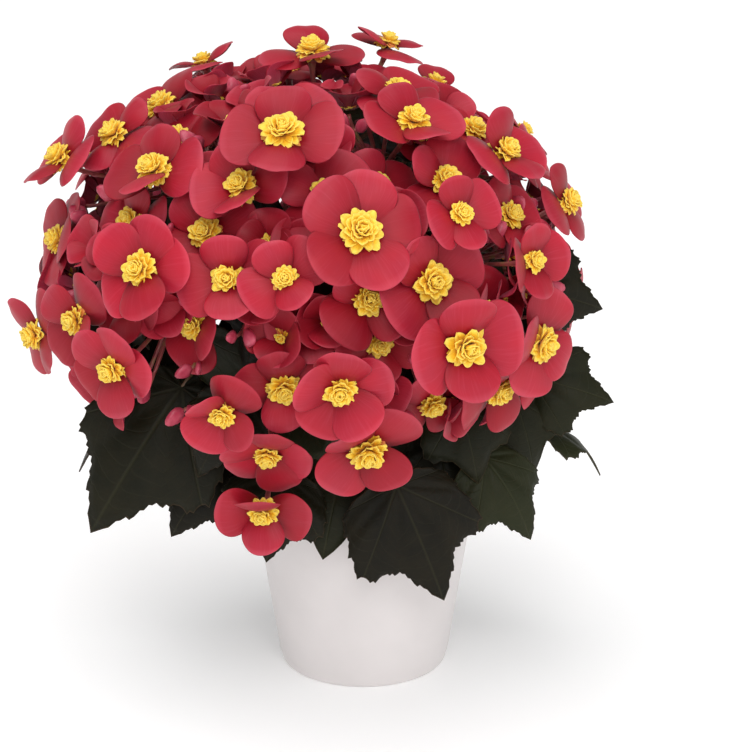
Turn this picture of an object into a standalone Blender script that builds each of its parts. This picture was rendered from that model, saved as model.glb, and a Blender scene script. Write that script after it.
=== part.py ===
"""Potted elatior begonia: a tapered white pot, potting soil, one plant with ten branching stems,
toothed leaves on long stalks and a dome of double flowers carried in trusses of three.

Metres, +Z up. The origin is the centre of the pot's flat base; the plant's show side faces -Y.
"""

import math
from collections import namedtuple

import bmesh
import bpy
import numpy as np
from mathutils import Vector

MM = 0.001
GAP = 0.3 * MM  # clearance between pieces that touch
WELD = 0.01 * MM

# Pot: turned, with a straight taper, a rounded foot and a rounded rim.
POT_HEIGHT = 0.105
POT_RIM_RADIUS = 0.0655
POT_BASE_RADIUS = 0.049
POT_WALL = 0.004
POT_FLOOR = 0.006
FOOT_ROUNDING = 0.0045
POT_SEGMENTS = 40

# Soil fills the pot to a little under the rim, with a socket for the crown's root.
SOIL_TOP = 0.093
SOIL_RISE = 1.5 * MM
SOIL_SEGMENTS = 24

# Crown: the low mound that all the stems and lower leaf stalks spring from.
CROWN_RADIUS = 0.018
CROWN_HEIGHT = SOIL_TOP + 2.5 * MM
ROOT_RADIUS = 0.009
ROOT_DEPTH = 0.022

# Stems
STEM_RADIUS = 3.2 * MM
STEM_NODE_RADIUS = 4.2 * MM
STEM_TOP_RADIUS = 5.0 * MM
STEM_NODE_AT = 0.55  # where along a stem its middle node is
STEM_REACH = 0.44  # where a stem ends, as a share of the dome's radius
STEM_START_ELEVATION = 52
ROOTING = 4 * MM  # every stalk starts straight for this length

# Leaves
BLADE_THICKNESS = 1.2 * MM
PETIOLE_RADIUS = 1.8 * MM
PETIOLE_START_ELEVATION = 14

# Flowers
CUP = 0.20  # how far a flower's rim stands forward of its base, as a share of its radius
TEPAL_EDGE = 1.4 * MM
HEAD_DEPTH = 3.0 * MM  # from the bottom of the cup to the back of the flower
EYE_RADIUS = 0.44  # the yellow centre, as a share of the flower's radius
EYE_HEIGHT = 8.0 * MM
PEDICEL_RADIUS = 1.2 * MM
PEDUNCLE_RADIUS = 1.7 * MM
TRUSS_NODE_RADIUS = 2.6 * MM
FLOWER_PULL = 18 * MM  # how strongly a pedicel straightens to meet its flower squarely
TRUSS_REACH = 0.68  # where a truss forks, as a share of the way to its flowers

# How the flowers settle against each other
SETTLING_ROUNDS = 300
EASE = 0.35  # share of an overlap that one round takes up
HOMING = 0.012  # pull back to where a flower started, each round
CUP_CLEARANCE = 4.8 * MM
STALK_CLEARANCE = 3 * MM
DEEPEST_BITE = 22 * MM  # points further in than this are on the far side, and don't push
STALK_STEPS = np.array((0, 4, 8, 12, 16))[:, None] * MM  # where a stalk is tested, behind its flower

# Dome that the flowers cover. Azimuth 0 faces -Y and runs towards +X; elevation is above its equator.
DOME_CENTRE = np.array((-0.030, 0.0, 0.236))
DOME_RADII = np.array((0.150, 0.142, 0.124))

Bloom = namedtuple("Bloom", "azimuth elevation lift radius tepals roll turn tip")
Leaf = namedtuple("Leaf", "stem base tip facing width arch")


def bloom(azimuth, elevation, lift, radius, tepals=4, roll=0, turn=0, tip=0):
    """A flower: degrees on the dome, then millimetres of lift above it and of radius, its number of
    tepals and, in degrees, its roll and how far it turns sideways and tips up from square."""
    return Bloom(azimuth, elevation, lift * MM, radius * MM, tepals, roll, turn, tip)


def leaf(stem, base, tip, facing, width, arch=8):
    """A leaf, in millimetres: the stem that bears it (0 for the crown), where its blade starts and
    ends, the way its upper side faces, its width and how far its midrib arches."""
    return Leaf(stem, np.array(base) * MM, np.array(tip) * MM, unit(facing), width * MM, arch * MM)


def unit(v):
    v = np.asarray(v, float)
    return v / np.linalg.norm(v, axis=-1, keepdims=True)


# Trusses of three flowers each, set by hand on the show side.
SHOW_TRUSSES = [
    [bloom(-31, 18, 10, 29, 5, 10), bloom(-26, 28, 0, 29, 4, 40), bloom(-50, 27, -5, 28, 4, 0)],
    [bloom(-43, 6, -4, 28, 4, 20), bloom(-54, -1, -3, 28, 4, 60), bloom(-39, -7, 2, 27, 5, 0)],
    [bloom(-43, 39, 2, 30, 4, 15), bloom(-62, 53, -4, 28, 4, 50), bloom(-74, 42, -2, 29, 4, 0)],
    [bloom(-13, 36, 0, 29, 4, 30, turn=-18), bloom(-4, 47, 2, 32, 4, 0), bloom(-10, 60, -2, 29, 4, 45)],
    [bloom(-11, 16, 0, 28, 4, 10), bloom(-27, 5, -5, 27, 4, 70), bloom(-4, 15, 6, 24, 4, 35)],
    [bloom(3, 36, -3, 28, 4, 60), bloom(11, 26, 6, 33, 5, 0), bloom(21, 43, -5, 26, 4, 20)],
    [bloom(13, 14, 3, 29, 4, 45), bloom(4, 5, -7, 26, 4, 10), bloom(16, 1, -6, 24, 4, 0)],
    [bloom(-14, -14, 8, 25, 4, 50), bloom(-9, -31, 0, 27, 5, 0), bloom(-12, -46, 0, 27, 4, 0, tip=35)],
    [bloom(-6, -14, -3, 28, 4, 0, turn=15), bloom(3, -6, 6, 29, 5, 20), bloom(13, -26, 4, 32, 4, 45)],
    [bloom(28, 3, 10, 34, 4, 0), bloom(25, 15, 3, 32, 4, 30), bloom(31, -20, -2, 25, 4, 45)],
    [bloom(46, -13, 2, 29, 4, 20), bloom(49, -3, 4, 30, 4, 60), bloom(64, -19, -5, 27, 4, 0)],
    [bloom(31, 25, 7, 23, 4, 10), bloom(38, 38, 0, 28, 4, 40), bloom(57, 33, -4, 27, 4, 0)],
    [bloom(47, 15, 4, 24, 4, 0), bloom(42, 3, -7, 26, 4, 50), bloom(80, 22, -2, 28, 4, 10)],
    [bloom(36, 51, 0, 28, 4, 0), bloom(50, 62, -2, 28, 4, 30), bloom(56, 51, -3, 28, 4, 60)],
    [bloom(57, 38, 2, 29, 4, 0), bloom(76, 49, -3, 28, 4, 40), bloom(95, 31, -3, 28, 4, 0)],
]

# On the far side the trusses repeat at even spacing: (elevation, first azimuth, step, count).
FAR_ROWS = [(42, 128, 47, 4), (0, 108, 34, 6), (76, 165, 180, 1)]
FAR_TRIPLE = [(-11, -10), (11, -8), (0, 12)]
FAR_RADIUS = 29
LIFTS = (3, -3, 0, 5, -2)

# Stem tops: azimuth and elevation on the dome.
STEM_TOPS = [(0, 84), (-48, 24), (-16, 18), (38, 14), (8, -28), (78, 28), (118, 16), (158, 22), (206, 22)]
STEM_TOPS += [(258, 22)]

LEAVES = [
    leaf(0, (-93, -55, 200), (-149, -74, 114), (-0.15, -1, 0.3), 84),
    leaf(0, (-66, -71, 194), (-90, -84, 148), (0.0, -1, 0.35), 50),
    leaf(0, (-70, -50, 152), (-106, -66, 106), (-0.2, -1, 0.5), 56),
    leaf(0, (-42, -72, 146), (-53, -94, 101), (0, -1, 0.45), 62),
    leaf(0, (14, -78, 148), (43, -90, 79), (0.1, -1, 0.35), 76),
    leaf(0, (31, -38, 164), (35, -48, 128), (0.2, -1, 0.5), 36),
    leaf(0, (62, -54, 152), (93, -62, 103), (0.45, -1, 0.5), 52),
    leaf(6, (78, -12, 236), (133, -15, 222), (0, -1, 0.45), 60),
    leaf(4, (88, -10, 180), (140, -17, 167), (0.1, -1, 0.5), 52),
    leaf(0, (92, 8, 146), (139, 10, 117), (0.5, 0.1, 1), 40),
    leaf(0, (-106, -12, 180), (-164, -14, 130), (-0.7, -0.1, 0.7), 62),
    leaf(0, (-92, 48, 160), (-140, 76, 104), (-0.7, 0.4, 0.7), 74),
    leaf(0, (-58, 74, 178), (-82, 116, 132), (-0.3, 0.8, 0.6), 70),
    leaf(0, (-14, 82, 152), (-14, 128, 94), (0, 0.8, 0.6), 76),
    leaf(0, (40, 66, 172), (72, 102, 122), (0.3, 0.8, 0.6), 72),
    leaf(0, (70, 42, 160), (122, 60, 110), (0.7, 0.4, 0.7), 70),
    leaf(7, (70, 40, 198), (122, 52, 182), (0.5, 0.4, 0.8), 56),
]


# ---- where everything goes ----


def far_trusses():
    """Trusses of three on the far side, with lifts and rolls that step through a short cycle."""
    made = []
    for elevation, first, step, count in FAR_ROWS:
        for k in range(count):
            azimuth = first + step * k
            truss = []
            for n, (across, along) in enumerate(FAR_TRIPLE):
                height = elevation + along
                reach = across / max(0.35, math.cos(math.radians(height)))
                turn = 3 * len(made) + n
                lift = LIFTS[turn % len(LIFTS)]
                size = FAR_RADIUS + turn % 3
                truss.append(bloom(azimuth + reach, height, lift, size, 4 + turn % 2, 37 * turn % 90))
            made.append(truss)
    return made


def bearing(azimuth, elevation):
    a, e = math.radians(azimuth), math.radians(elevation)
    return np.array((math.sin(a) * math.cos(e), -math.cos(a) * math.cos(e), math.sin(e)))


def on_dome(azimuth, elevation, scale=1.0):
    """The point of the dome at these degrees, and its outward normal."""
    way = bearing(azimuth, elevation)
    return DOME_CENTRE + DOME_RADII * way * scale, unit(way / DOME_RADII)


def axes_of(face):
    """Sideways and upward directions of something that faces this way."""
    side = unit(np.cross((0, 0, 1), face) + 1e-9)
    return side, np.cross(face, side)


def aimed(b):
    """A flower's starting place and the way it faces."""
    place, normal = on_dome(b.azimuth, b.elevation)
    side, up = axes_of(normal)
    turn, tip = math.tan(math.radians(b.turn)), math.tan(math.radians(b.tip))
    return place + normal * b.lift, unit(normal + side * turn + up * tip)


def cupped(radius, face, share, count):
    """Points on a ring of a flower's cup, from its base."""
    angles = np.linspace(0, 2 * math.pi, count, endpoint=False)[:, None]
    side, up = axes_of(face)
    flat = np.cos(angles) * side + np.sin(angles) * up
    return radius * (share * flat + CUP * share**2 * face)


def seen_from(base, face, points):
    """Heights of points above a flower's base plane, and their distances from its axis."""
    offset = points - base
    height = offset @ face
    return height, np.linalg.norm(offset - height[:, None] * face, axis=1)


def cup_height(across, radius):
    """How far a flower's cup stands forward of its base at a distance from its axis."""
    return CUP * across**2 / radius


def cup_contact(cup_points, base, face, radius, over):
    """How far each of a flower's points comes too near another's cup, and which way that pushes it."""
    height, across = seen_from(base, face, cup_points)
    surface = cup_height(across, radius)
    if over > 0:
        surface = surface + EYE_HEIGHT * np.clip(1.6 - (across / (EYE_RADIUS * radius)) ** 2, 0, 1)
    bite = CUP_CLEARANCE - over * (height - surface)
    touching = (across < radius + MM) & (bite > 0) & (bite < DEEPEST_BITE)
    return over * np.where(touching, bite, 0.0)[:, None] * face, np.count_nonzero(touching)


def stalk_contact(stalk, base, face, radius):
    """The sideways push that keeps an upper flower's stalk outside a lower flower's rim."""
    height, across = seen_from(base, face, stalk)
    nearest = np.argmin(np.abs(height - cup_height(np.minimum(across, radius), radius)))
    short = radius + STALK_CLEARANCE - across[nearest]
    aside = stalk[nearest] - base - height[nearest] * face
    return 0.25 * max(0.0, short) * unit(aside + 1e-9)


def settle(blooms):
    """Flowers push each other aside, as they do on the plant, until no two cross: of two that overlap
    the one with more lift lies over the other, and its stalk passes outside the other's rim."""
    places, faces = (np.array(x) for x in zip(*(aimed(b) for b in blooms)))
    first_places, first_faces = places.copy(), faces.copy()
    radii = np.array([b.radius for b in blooms])
    order = np.argsort(np.argsort([b.lift for b in blooms], kind="stable"))
    for _ in range(SETTLING_ROUNDS):
        cups = [
            np.concatenate([cupped(r, f, share, n) for share, n in ((1.0, 14), (0.65, 8), (0.3, 4))])
            for r, f in zip(radii, faces)
        ]
        apart = np.linalg.norm(places[:, None] - places[None], axis=2)
        near = (apart < radii[:, None] + radii[None] + 4 * MM) & (apart > 0)
        push, twist = np.zeros_like(places), np.zeros_like(places)
        for i, j in zip(*np.nonzero(near)):
            over = 1.0 if order[i] > order[j] else -1.0
            force, touching = cup_contact(places[i] + cups[i], places[j], faces[j], radii[j], over)
            shove = EASE * force.sum(0) / max(1, touching)
            if over > 0:
                stalk = places[i] - STALK_STEPS * faces[i]
                shove = shove + stalk_contact(stalk, places[j], faces[j], radii[j])
            push[i] += shove
            push[j] -= shove
            twist[i] += 0.5 * np.cross(cups[i], force).sum(0) / (radii[i] ** 2 * len(force))
        places = places + push + HOMING * (first_places - places)
        faces = unit(faces + np.cross(twist, faces) + HOMING * (first_faces - faces))
    return places, faces


def bend(start, start_way, end, end_way, count):
    """Points along a smooth curve that leaves start along start_way and arrives along end_way."""
    t = np.linspace(0, 1, count)[:, None]
    a, b = start + start_way, end - end_way
    return (1 - t) ** 3 * start + 3 * (1 - t) ** 2 * t * a + 3 * (1 - t) * t**2 * b + t**3 * end


def grown(start, way, pull, end, end_way, count):
    """Points along a stalk that springs square from what bears it, then bends to its end."""
    clear = start + way * ROOTING
    return np.vstack([start, bend(clear, way * pull, end, end_way, count - 1)])


# ---- shapes ----


def hex_linear(code):
    """An sRGB hex colour as linear RGBA."""
    values = [int(code[k : k + 2], 16) / 255 for k in (0, 2, 4)]
    return tuple(v / 12.92 if v <= 0.04045 else ((v + 0.055) / 1.055) ** 2.4 for v in values) + (1.0,)


def material(name, colour, roughness):
    made = bpy.data.materials.new(name)
    made.use_nodes = True
    shader = made.node_tree.nodes["Principled BSDF"]
    shader.inputs["Base Color"].default_value = hex_linear(colour)
    shader.inputs["Roughness"].default_value = roughness
    shader.inputs["Metallic"].default_value = 0.0
    return made


def object_from(mesh, name):
    made = bpy.data.objects.new(name, mesh)
    bpy.context.scene.collection.objects.link(made)
    return made


def cleaned(bm, name):
    """The bmesh as a mesh, with its seams welded and its faces pointing out."""
    bmesh.ops.remove_doubles(bm, verts=bm.verts, dist=WELD)
    bmesh.ops.recalc_face_normals(bm, faces=bm.faces)
    mesh = bpy.data.meshes.new(name)
    bm.to_mesh(mesh)
    bm.free()
    return mesh


def turned(profile, segments, name):
    """A profile of (radius, height) points, from axis to axis, spun about Z."""
    bm = bmesh.new()
    points = [bm.verts.new((r, 0, z)) for r, z in profile]
    edges = [bm.edges.new(pair) for pair in zip(points, points[1:])]
    whole = {"cent": (0, 0, 0), "axis": (0, 0, 1), "angle": 2 * math.pi, "use_merge": True}
    bmesh.ops.spin(bm, geom=points + edges, steps=segments, **whole)
    return cleaned(bm, name)


def swept(path, radii, name, resolution=1):
    """A round stalk along a path, with a radius at each point, closed at both ends."""
    curve = bpy.data.curves.new(name, "CURVE")
    curve.dimensions = "3D"
    curve.bevel_depth = 1.0
    curve.bevel_resolution = resolution
    curve.use_fill_caps = True
    spline = curve.splines.new("POLY")
    spline.points.add(len(path) - 1)
    for point, place, radius in zip(spline.points, path, radii):
        point.co = (*place, 1.0)
        point.radius = radius
    holder = bpy.data.objects.new(name, curve)
    bm = bmesh.new()
    bm.from_mesh(bpy.data.meshes.new_from_object(holder))
    bpy.data.objects.remove(holder)
    return cleaned(bm, name)


def fused(name, meshes, finish):
    """One object, in one finish, made of overlapping meshes joined by Boolean unions."""
    body = object_from(meshes[0], name)
    tools = [object_from(mesh, name + ".tool") for mesh in meshes[1:]]
    for tool in tools:
        join = body.modifiers.new("join", "BOOLEAN")
        join.operation = "UNION"
        join.solver = "EXACT"
        join.object = tool
    evaluated = body.evaluated_get(bpy.context.evaluated_depsgraph_get())
    bm = bmesh.new()
    bm.from_mesh(evaluated.data)
    body.modifiers.clear()
    body.data = cleaned(bm, name)
    for tool in tools:
        bpy.data.objects.remove(tool)
    return finished(body, finish)


def finished(thing, finish):
    thing.data.materials.clear()
    thing.data.materials.append(finish)
    thing.data.shade_smooth()
    thing.data.set_sharp_from_angle(angle=math.radians(40))
    return thing


def placed(mesh, origin, side, up, face):
    """The mesh moved from its own X, Y and Z to these directions and this origin."""
    for vertex in mesh.vertices:
        x, y, z = vertex.co
        vertex.co = origin + x * side + y * up + z * face
    return mesh


# ---- the pieces ----


def pot_inside(height):
    """The radius of the pot's inner wall at this height."""
    low = POT_BASE_RADIUS + (POT_RIM_RADIUS - POT_BASE_RADIUS) / POT_HEIGHT * POT_FLOOR - POT_WALL
    high = POT_RIM_RADIUS - POT_WALL
    share = (height - POT_FLOOR) / (POT_HEIGHT - POT_WALL / 2 - POT_FLOOR)
    return low + (high - low) * share


def pot(finish):
    bend_in = POT_BASE_RADIUS - FOOT_ROUNDING
    foot = [
        (bend_in + FOOT_ROUNDING * math.sin(a), FOOT_ROUNDING * (1 - math.cos(a)))
        for a in np.radians((0, 30, 60, 90))
    ]
    lip = POT_WALL / 2
    rim = [
        (POT_RIM_RADIUS - lip + lip * math.cos(a), POT_HEIGHT - lip + lip * math.sin(a))
        for a in np.radians((0, 45, 90, 135, 180))
    ]
    profile = [(0, 0), *foot, *rim, (pot_inside(POT_FLOOR), POT_FLOOR), (0, POT_FLOOR)]
    return finished(object_from(turned(profile, POT_SEGMENTS, "pot"), "pot"), finish)


def soil(finish):
    facet = math.cos(math.pi / POT_SEGMENTS)
    bottom, top = POT_FLOOR + GAP, SOIL_TOP
    socket = ROOT_RADIUS / math.cos(math.pi / SOIL_SEGMENTS) + GAP
    profile = [
        (0, bottom),
        (pot_inside(bottom) * facet - GAP, bottom),
        (pot_inside(top) * facet - GAP, top),
        (CROWN_RADIUS + 4 * MM, top + SOIL_RISE),
        (socket, top + SOIL_RISE),
        (socket, top - ROOT_DEPTH),
        (0, top - ROOT_DEPTH),
    ]
    return finished(object_from(turned(profile, SOIL_SEGMENTS, "soil"), "soil"), finish)


def crown(finish):
    seat = SOIL_TOP + SOIL_RISE + GAP
    low = math.asin((seat - CROWN_HEIGHT) / CROWN_RADIUS)
    mound = [
        (CROWN_RADIUS * math.cos(a), CROWN_HEIGHT + CROWN_RADIUS * math.sin(a))
        for a in np.linspace(low, math.pi / 2, 6)[:-1]
    ]
    root_end = SOIL_TOP - ROOT_DEPTH + GAP
    root = [(0, root_end), (ROOT_RADIUS, root_end), (ROOT_RADIUS, seat)]
    profile = [*root, *mound, (0, CROWN_HEIGHT + CROWN_RADIUS)]
    return finished(object_from(turned(profile, SOIL_SEGMENTS, "crown"), "crown"), finish)


def on_crown(azimuth, elevation):
    """A point just clear of the crown's mound, and the way out from it."""
    way = bearing(azimuth, elevation)
    return np.array((0, 0, CROWN_HEIGHT)) + way * (CROWN_RADIUS + GAP), way


def spread_round(places, first):
    """Evenly spaced azimuths for these places round the crown, in the order that they lie in."""
    order = sorted(range(len(places)), key=lambda k: math.atan2(places[k][0], -places[k][1]))
    found = [0.0] * len(places)
    for rank, k in enumerate(order):
        found[k] = first + 360.0 * rank / len(places)
    return found


def stem_paths():
    """For each stem, the points along it from the crown to its top."""
    tops = [on_dome(a, e, STEM_REACH)[0] for a, e in STEM_TOPS]
    azimuths = [0.0] + spread_round(tops[1:], first=-185)
    paths = []
    for k, top in enumerate(tops):
        elevation = 90 if k == 0 else STEM_START_ELEVATION
        start, way = on_crown(azimuths[k], elevation)
        length = np.linalg.norm(top - start)
        arrive = unit(top - DOME_CENTRE * (1, 1, 0.72))
        paths.append(grown(start, way, length * 0.4, top, arrive * length * 0.3, 21))
    return paths


def on_stem(path, towards):
    """A point just clear of a stem's middle node, on the side that faces a place, and the way out."""
    middle = round(STEM_NODE_AT * (len(path) - 1))
    axis = unit(path[middle + 1] - path[middle - 1])
    reach = towards - path[middle]
    way = unit(reach - axis * (reach @ axis))
    return path[middle] + way * (STEM_NODE_RADIUS + GAP), way


def stem(number, path, finish):
    """A stem, swollen at its middle node and at its top, where trusses spring from it."""
    middle = round(STEM_NODE_AT * (len(path) - 1))
    top, way = path[-1], unit(path[-1] - path[-2])
    points = [path[k] for k in (0, 1, 6, middle - 2, middle, middle + 2)]
    radii = [STEM_RADIUS * share for share in (1, 1, 1, 0.95, 1, 0.85)]
    radii[4] = STEM_NODE_RADIUS
    for angle in np.radians((-65, -30, 0, 30, 65)):
        points.append(top + way * STEM_TOP_RADIUS * math.sin(angle))
        radii.append(STEM_TOP_RADIUS * math.cos(angle))
    name = f"stem_{number}"
    return finished(object_from(swept(points, radii, name, resolution=2), name), finish)


def flower(b, place, face, path, name):
    """A cupped ring of broad tepals round a raised yellow centre, on its pedicel, as one closed mesh."""
    rim, eye = b.radius, EYE_RADIUS * b.radius
    cup = CUP * rim
    profile = [(rim, cup - TEPAL_EDGE), (rim, cup), (eye, CUP * eye**2 / rim), (0, EYE_HEIGHT)]
    head = turned(profile, 3 * b.tepals, name)
    for vertex in head.vertices:
        x, y, z = vertex.co
        if math.hypot(x, y) > 1.1 * eye:
            along = math.cos(b.tepals * math.atan2(y, x))
            shrink = 0.955 + 0.045 * along
            vertex.co = (x * shrink, y * shrink, z + 0.05 * rim * along)
    side, up = axes_of(face)
    roll = math.radians(b.roll)
    across = math.cos(roll) * side + math.sin(roll) * up
    placed(head, place, across, np.cross(face, across), face)
    bm = bmesh.new()
    bm.from_mesh(swept(path, PEDICEL_RADIUS * np.array((1.1, 1.0, 1.0, 2.0)), name))
    end = min(bm.faces, key=lambda f: (f.calc_center_median() - Vector(path[-1])).length)
    bmesh.ops.delete(bm, geom=[end], context="FACES_ONLY")
    bm.from_mesh(head)
    bmesh.ops.bridge_loops(bm, edges=[e for e in bm.edges if e.is_boundary])
    return cleaned(bm, name)


def truss(number, blooms, places, faces, tops, finish):
    """Three flowers on pedicels that spring from one peduncle, as one solid."""
    name = f"flower_truss_{number:02d}"
    fork = DOME_CENTRE + TRUSS_REACH * (places.mean(0) - DOME_CENTRE)
    top = tops[np.argmin(np.linalg.norm(tops - fork, axis=1))]
    way, outward = unit(fork - top), unit(places.mean(0) - fork)
    pull = np.linalg.norm(fork - top) * 0.3
    start = top + way * (STEM_TOP_RADIUS + GAP)
    stalk = grown(start, way, pull, fork - outward * TRUSS_NODE_RADIUS, outward * pull, 4)
    ending = [fork, fork + outward * TRUSS_NODE_RADIUS]
    radii = [PEDUNCLE_RADIUS] * 4 + [TRUSS_NODE_RADIUS, PEDUNCLE_RADIUS]
    meshes = [swept([*stalk, *ending], radii, name)]
    for b, place, face in zip(blooms, places, faces):
        back = place - face * HEAD_DEPTH
        far = np.linalg.norm(back - fork)
        leave = unit(place - fork + outward * 0.3 * far) * far * 0.35
        path = bend(fork, leave, back, face * FLOWER_PULL, 4)
        meshes.append(flower(b, place, face, path, name))
    return fused(name, meshes, finish)


def blade_point(spec, across, t):
    """A point of a leaf's blade: an uneven heart with a pointed tip and shallow lobes, arched along
    its midrib and cupped. across runs from -1 to 1 between its edges and t from its base to its tip."""
    along = unit(spec.tip - spec.base)
    length = np.linalg.norm(spec.tip - spec.base)
    side = unit(np.cross(along, spec.facing))
    face = np.cross(side, along)
    outline = math.sin(math.pi * min(1.0, 0.16 + 0.84 * t) ** 0.8) ** 0.75 if t < 1 else 0.0
    lobe = 1.0 + 0.10 * math.cos(4 * math.pi * t) - 0.06 * across
    x = 0.5 * spec.width * across * max(0.05, outline * lobe)
    y = length * (t - 0.10 * across**2 * (1 - t))
    z = spec.arch * (4 * t * (1 - t) - 0.9 * across**2 * outline)
    return spec.base + side * x + along * y + face * z


def blade(spec, name):
    """A leaf's blade, with its thickness."""
    bm = bmesh.new()
    bmesh.ops.create_grid(bm, x_segments=4, y_segments=5, size=1.0)
    for vertex in bm.verts:
        vertex.co = blade_point(spec, vertex.co.x, 0.5 + 0.5 * vertex.co.y)
    bmesh.ops.triangulate(bm, faces=bm.faces)
    bmesh.ops.solidify(bm, geom=bm.faces, thickness=BLADE_THICKNESS)
    return cleaned(bm, name)


def leaf_solid(number, spec, start, way, finish):
    """A leaf: its blade and its stalk, as one solid."""
    name = f"leaf_{number:02d}"
    end = blade_point(spec, 0, 0.06)
    arrive = unit(blade_point(spec, 0, 0.12) - end)
    length = np.linalg.norm(end - start)
    path = grown(start, way, length * 0.4, end, unit(arrive + way * 0.6) * length * 0.25, 6)
    radii = PETIOLE_RADIUS * np.linspace(1.0, 0.85, 6)
    return fused(name, [swept(path, radii, name), blade(spec, name)], finish)


def build():
    for old in list(bpy.data.objects):
        bpy.data.objects.remove(old)
    pot(material("white_ceramic", "E9E4E2", 0.38))
    soil(material("potting_soil", "2C211A", 0.95))
    crown(material("crown_bark", "4B3A26", 0.75))
    paths = stem_paths()
    for number, path in enumerate(paths, 1):
        stem(number, path, material(f"stem_{number}", "6B4A34", 0.5))
    tops = np.array([path[-1] for path in paths])
    trusses = SHOW_TRUSSES + far_trusses()
    blooms = [b for group in trusses for b in group]
    places, faces = settle(blooms)
    for k, group in enumerate(trusses):
        part = slice(3 * k, 3 * k + 3)
        finish = material(f"flowers_{k + 1:02d}", "C62A49", 0.5)
        truss(k + 1, group, places[part], faces[part], tops, finish)
    low = [spec for spec in LEAVES if spec.stem == 0]
    azimuths = dict(zip(map(id, low), spread_round([spec.base for spec in low], first=-170)))
    for number, spec in enumerate(LEAVES, 1):
        if spec.stem:
            start, way = on_stem(paths[spec.stem - 1], spec.base)
        else:
            start, way = on_crown(azimuths[id(spec)], PETIOLE_START_ELEVATION)
        leaf_solid(number, spec, start, way, material(f"leaf_{number:02d}", "23281D", 0.45))


build()
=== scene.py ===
"""The looks of a potted elatior begonia: double crimson flowers with yellow hearts over dark toothed
leaves, in a tapered white pot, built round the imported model.

Metres, +Z up. The origin is the centre of the pot's flat base; the plant's show side faces -Y.
"""

import math
import random
from collections import namedtuple

import bmesh
import bpy
import numpy as np
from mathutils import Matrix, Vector, noise


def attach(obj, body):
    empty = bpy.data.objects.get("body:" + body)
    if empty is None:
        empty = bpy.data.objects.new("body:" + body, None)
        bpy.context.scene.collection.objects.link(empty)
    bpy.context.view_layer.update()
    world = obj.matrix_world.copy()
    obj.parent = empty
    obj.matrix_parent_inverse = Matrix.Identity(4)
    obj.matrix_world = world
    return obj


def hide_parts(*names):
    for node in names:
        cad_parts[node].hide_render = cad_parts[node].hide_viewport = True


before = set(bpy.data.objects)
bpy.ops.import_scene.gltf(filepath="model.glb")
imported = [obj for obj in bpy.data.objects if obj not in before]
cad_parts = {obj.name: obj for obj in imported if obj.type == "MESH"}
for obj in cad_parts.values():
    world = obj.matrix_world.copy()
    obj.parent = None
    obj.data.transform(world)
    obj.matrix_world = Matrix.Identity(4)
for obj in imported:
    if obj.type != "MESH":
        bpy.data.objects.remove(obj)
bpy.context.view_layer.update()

# ---- the plant's plan, as the model has it ----

MM = 0.001
GAP = 0.3 * MM  # clearance between pieces that touch
WELD = 0.01 * MM  # points this close are one
WORLD_AXES = np.eye(3)
GOLDEN_ANGLE = 137.508

# Each kind of piece draws its own small differences, from its seed plus its number.
SEEDS = {"soil": 11, "inner leaves": 77, "truss": 100, "leaf": 500, "stem": 700}

# Pot: turned, with a straight taper, a rounded foot and a rounded rim.
POT_HEIGHT = 0.105
POT_RIM_RADIUS = 0.0655
POT_BASE_RADIUS = 0.049
POT_WALL = 0.004
POT_FLOOR = 0.006
FOOT_ROUNDING = 0.0045

# Soil fills the pot to a little under the rim.
SOIL_TOP = 0.093
SOIL_RISE = 1.5 * MM
CRUMBS = 420

# Crown: the low mound that all the stems and lower leaf stalks spring from.
CROWN_RADIUS = 0.018
CROWN_HEIGHT = SOIL_TOP + 2.5 * MM

# Stems
STEM_RADIUS = 3.2 * MM
STEM_NODE_RADIUS = 4.2 * MM
STEM_TOP_RADIUS = 5.0 * MM
STEM_NODE_AT = 0.55  # where along a stem its middle node is
STEM_REACH = 0.44  # where a stem ends, as a share of the dome's radius
STEM_START_ELEVATION = 52
ROOTING = 4 * MM  # every stalk starts straight for this length

# Leaves
PETIOLE_RADIUS = 1.8 * MM
PETIOLE_START_ELEVATION = 14
PETIOLE_DROP = 1.3 * MM  # a stalk's end lies this far under the blade's upper face

# Flowers
CUP = 0.20  # how far a flower's rim stands forward of its base, as a share of its radius
HEAD_DEPTH = 3.0 * MM  # from the bottom of the cup to the back of the flower
EYE_RADIUS = 0.44  # the yellow centre, as a share of the flower's radius
EYE_HEIGHT = 8.0 * MM
PEDICEL_RADIUS = 1.2 * MM
PEDUNCLE_RADIUS = 1.7 * MM
TRUSS_NODE_RADIUS = 2.6 * MM
FLOWER_PULL = 18 * MM  # how strongly a pedicel straightens to meet its flower squarely
TRUSS_REACH = 0.68  # where a truss forks, as a share of the way to its flowers

# How the flowers settle against each other
SETTLING_ROUNDS = 300
EASE = 0.35  # share of an overlap that one round takes up
HOMING = 0.012  # pull back to where a flower started, each round
CUP_CLEARANCE = 4.8 * MM
STALK_CLEARANCE = 3 * MM
DEEPEST_BITE = 22 * MM  # points further in than this are on the far side, and don't push
STALK_STEPS = np.array((0, 4, 8, 12, 16))[:, None] * MM  # where a stalk is tested, behind its flower

# Dome that the flowers cover. Azimuth 0 faces -Y and runs towards +X; elevation is above its equator.
DOME_CENTRE = np.array((-0.030, 0.0, 0.236))
DOME_RADII = np.array((0.150, 0.142, 0.124))

Bloom = namedtuple("Bloom", "azimuth elevation lift radius tepals roll turn tip")
Leaf = namedtuple("Leaf", "stem base tip facing width arch")


def bloom(azimuth, elevation, lift, radius, tepals=4, roll=0, turn=0, tip=0):
    """A flower: degrees on the dome, then millimetres of lift above it and of radius, its number of
    tepals and, in degrees, its roll and how far it turns sideways and tips up from square."""
    return Bloom(azimuth, elevation, lift * MM, radius * MM, tepals, roll, turn, tip)


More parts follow.
